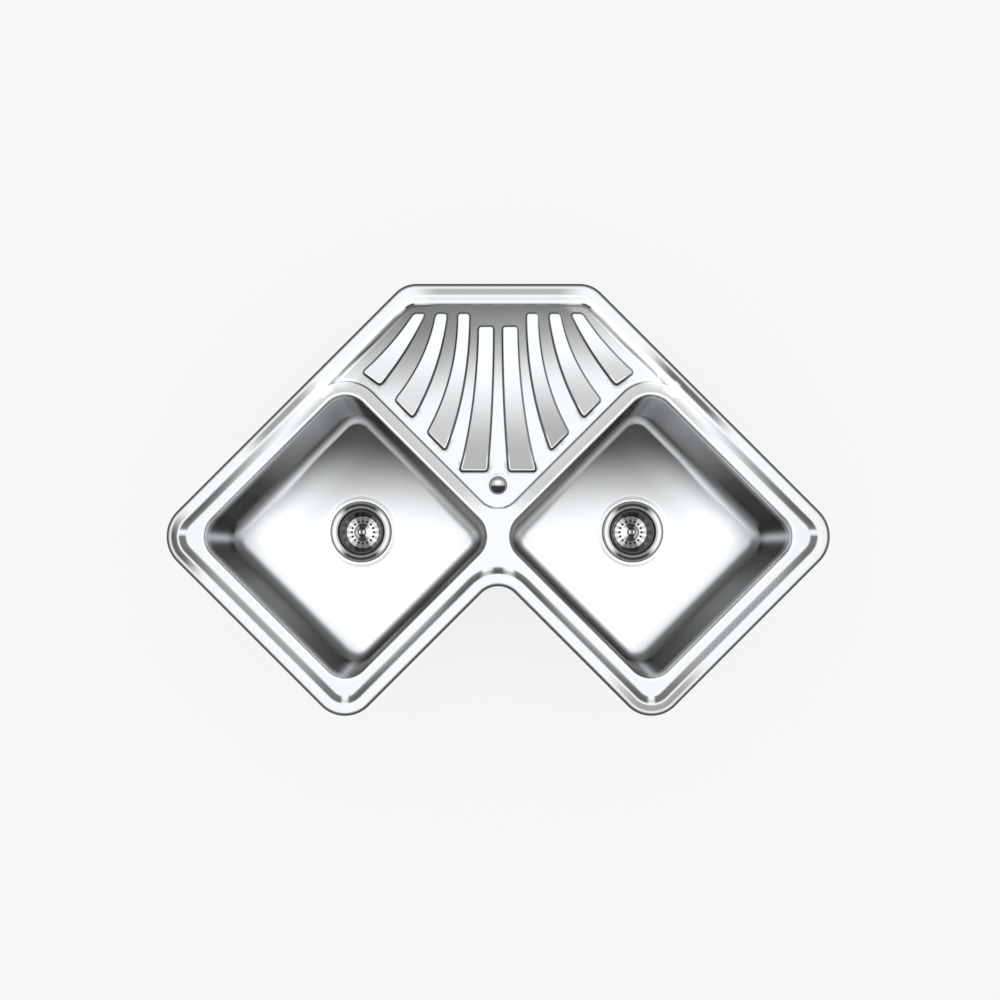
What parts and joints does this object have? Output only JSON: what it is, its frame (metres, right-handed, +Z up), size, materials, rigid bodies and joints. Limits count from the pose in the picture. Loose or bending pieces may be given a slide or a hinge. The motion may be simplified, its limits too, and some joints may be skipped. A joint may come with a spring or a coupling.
{
  "type": "corner kitchen sink",
  "caption": "V-shaped inset corner kitchen sink in pressed steel: a square bowl in each wing, a fan-ribbed drainer between them, lift-out strainers and swinging clips.",
  "frame": {"origin": "middle of the outline seen from above, at the level of the top of the worktop, in the middle of the worktop cut-out", "axes": "+Z up out of the worktop, +Y towards the corner of the room (the drainer side), +X to the right for someone facing that corner"},
  "size_m": [1.1234, 0.7319, 0.2705],
  "materials": {
    "brushed_steel": "fine linen-brushed stainless steel",
    "polished_steel": "polished stainless steel",
    "chrome": "bright chrome plate",
    "zinc_steel": "bright zinc plate",
    "black_plastic": "moulded polypropylene",
    "grey_plastic": "moulded polypropylene",
    "black_rubber": "moulded rubber",
    "grey_foam": "closed-cell foam strip",
    "bitumen_pad": "sound-deadening pad"
  },
  "bodies": {
    "sink": {"deck": "brushed_steel", "left_bowl": "brushed_steel", "right_bowl": "brushed_steel", "left_sound_pad": "bitumen_pad", "right_sound_pad": "bitumen_pad", "rim_seal": "grey_foam", "left_waste_flange": "polished_steel", "left_flange_gasket": "black_rubber", "left_body_gasket": "black_rubber", "left_waste_body": "black_plastic", "left_centre_screw": "zinc_steel", "right_waste_flange": "polished_steel", "right_flange_gasket": "black_rubber", "right_body_gasket": "black_rubber", "right_waste_body": "black_plastic", "right_centre_screw": "zinc_steel", "overflow_cap": "chrome", "overflow_gasket": "black_rubber", "overflow_body": "black_plastic", "overflow_pipe": "grey_plastic", "overflow_top_nut": "grey_plastic", "overflow_side_nut": "grey_plastic", "inlet_blanking_cap": "grey_plastic", "clip_1_bracket": "zinc_steel", "clip_1_screw": "zinc_steel", "clip_2_bracket": "zinc_steel", "clip_2_screw": "zinc_steel", "clip_3_bracket": "zinc_steel", "clip_3_screw": "zinc_steel", "clip_4_bracket": "zinc_steel", "clip_4_screw": "zinc_steel", "clip_5_bracket": "zinc_steel", "clip_5_screw": "zinc_steel", "clip_6_bracket": "zinc_steel", "clip_6_screw": "zinc_steel", "clip_7_bracket": "zinc_steel", "clip_7_screw": "zinc_steel", "clip_8_bracket": "zinc_steel", "clip_8_screw": "zinc_steel", "clip_9_bracket": "zinc_steel", "clip_9_screw": "zinc_steel"},
    "left_strainer_set": {"left_strainer": "polished_steel", "left_strainer_knob": "polished_steel", "left_stopper": "black_rubber"},
    "right_strainer_set": {"right_strainer": "polished_steel", "right_strainer_knob": "polished_steel", "right_stopper": "black_rubber"},
    "clip_1_swing": {"clip_1_claw": "zinc_steel"},
    "clip_2_swing": {"clip_2_claw": "zinc_steel"},
    "clip_3_swing": {"clip_3_claw": "zinc_steel"},
    "clip_4_swing": {"clip_4_claw": "zinc_steel"},
    "clip_5_swing": {"clip_5_claw": "zinc_steel"},
    "clip_6_swing": {"clip_6_claw": "zinc_steel"},
    "clip_7_swing": {"clip_7_claw": "zinc_steel"},
    "clip_8_swing": {"clip_8_claw": "zinc_steel"},
    "clip_9_swing": {"clip_9_claw": "zinc_steel"}
  },
  "joints": [
    {"name": "left_strainer_lift", "type": "slide", "parent": "sink", "child": "left_strainer_set", "axis": [0, 0, 1], "range_m": [0, 0.22]},
    {"name": "right_strainer_lift", "type": "slide", "parent": "sink", "child": "right_strainer_set", "axis": [0, 0, 1], "range_m": [0, 0.22]},
    {"name": "clip_1_turn", "type": "hinge", "parent": "sink", "child": "clip_1_swing", "pos_m": [0, 0.34625, -0.04], "axis": [0, 0, 1], "range_deg": [-90, 90]},
    {"name": "clip_2_turn", "type": "hinge", "parent": "sink", "child": "clip_2_swing", "pos_m": [0.44439, 0.05258, -0.04], "axis": [0, 0, 1], "range_deg": [-90, 90]},
    {"name": "clip_3_turn", "type": "hinge", "parent": "sink", "child": "clip_3_swing", "pos_m": [0.25183, 0.24514, -0.04], "axis": [0, 0, 1], "range_deg": [-90, 90]},
    {"name": "clip_4_turn", "type": "hinge", "parent": "sink", "child": "clip_4_swing", "pos_m": [-0.25183, 0.24514, -0.04], "axis": [0, 0, 1], "range_deg": [-90, 90]},
    {"name": "clip_5_turn", "type": "hinge", "parent": "sink", "child": "clip_5_swing", "pos_m": [-0.44439, 0.05258, -0.04], "axis": [0, 0, 1], "range_deg": [-90, 90]},
    {"name": "clip_6_turn", "type": "hinge", "parent": "sink", "child": "clip_6_swing", "pos_m": [0.40906, -0.2112, -0.04], "axis": [0, 0, 1], "range_deg": [-90, 90]},
    {"name": "clip_7_turn", "type": "hinge", "parent": "sink", "child": "clip_7_swing", "pos_m": [-0.40906, -0.2112, -0.04], "axis": [0, 0, 1], "range_deg": [-90, 90]},
    {"name": "clip_8_turn", "type": "hinge", "parent": "sink", "child": "clip_8_swing", "pos_m": [-0.15687, -0.25811, -0.04], "axis": [0, 0, 1], "range_deg": [-90, 90]},
    {"name": "clip_9_turn", "type": "hinge", "parent": "sink", "child": "clip_9_swing", "pos_m": [0.15687, -0.25811, -0.04], "axis": [0, 0, 1], "range_deg": [-90, 90]}
  ]
}
